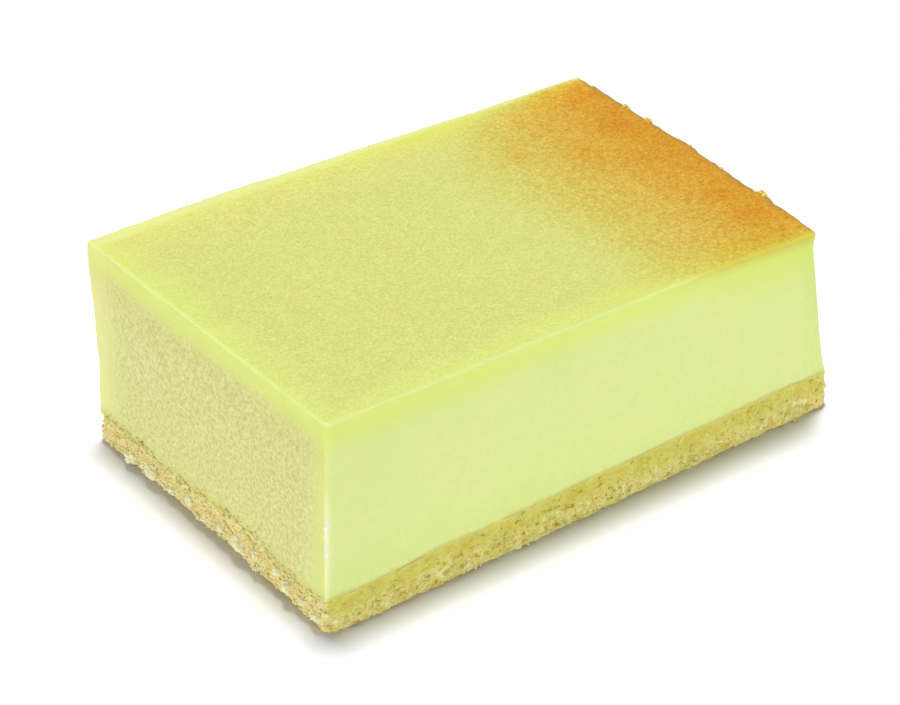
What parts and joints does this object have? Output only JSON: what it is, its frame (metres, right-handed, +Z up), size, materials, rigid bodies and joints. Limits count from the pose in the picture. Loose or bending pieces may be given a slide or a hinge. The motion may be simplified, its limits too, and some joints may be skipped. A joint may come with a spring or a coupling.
{
  "type": "baked cheesecake portion",
  "caption": "Rectangular cut bar of baked cheesecake: tall smooth pale filling, browned towards one end of its top, on a thin biscuit-crumb base.",
  "frame": {"origin": "middle of the underside of the whole portion's bounding box", "axes": "+X along the length towards the browned end, +Z up, -Y out of the smooth long cut, -X out of the grainy short cut"},
  "size_m": [0.098, 0.058, 0.0352],
  "materials": {
    "cheese_filling": "satin",
    "biscuit_base": "rough"
  },
  "bodies": {
    "root": {"cheese_filling": "cheese_filling", "biscuit_base": "biscuit_base"}
  },
  "joints": []
}
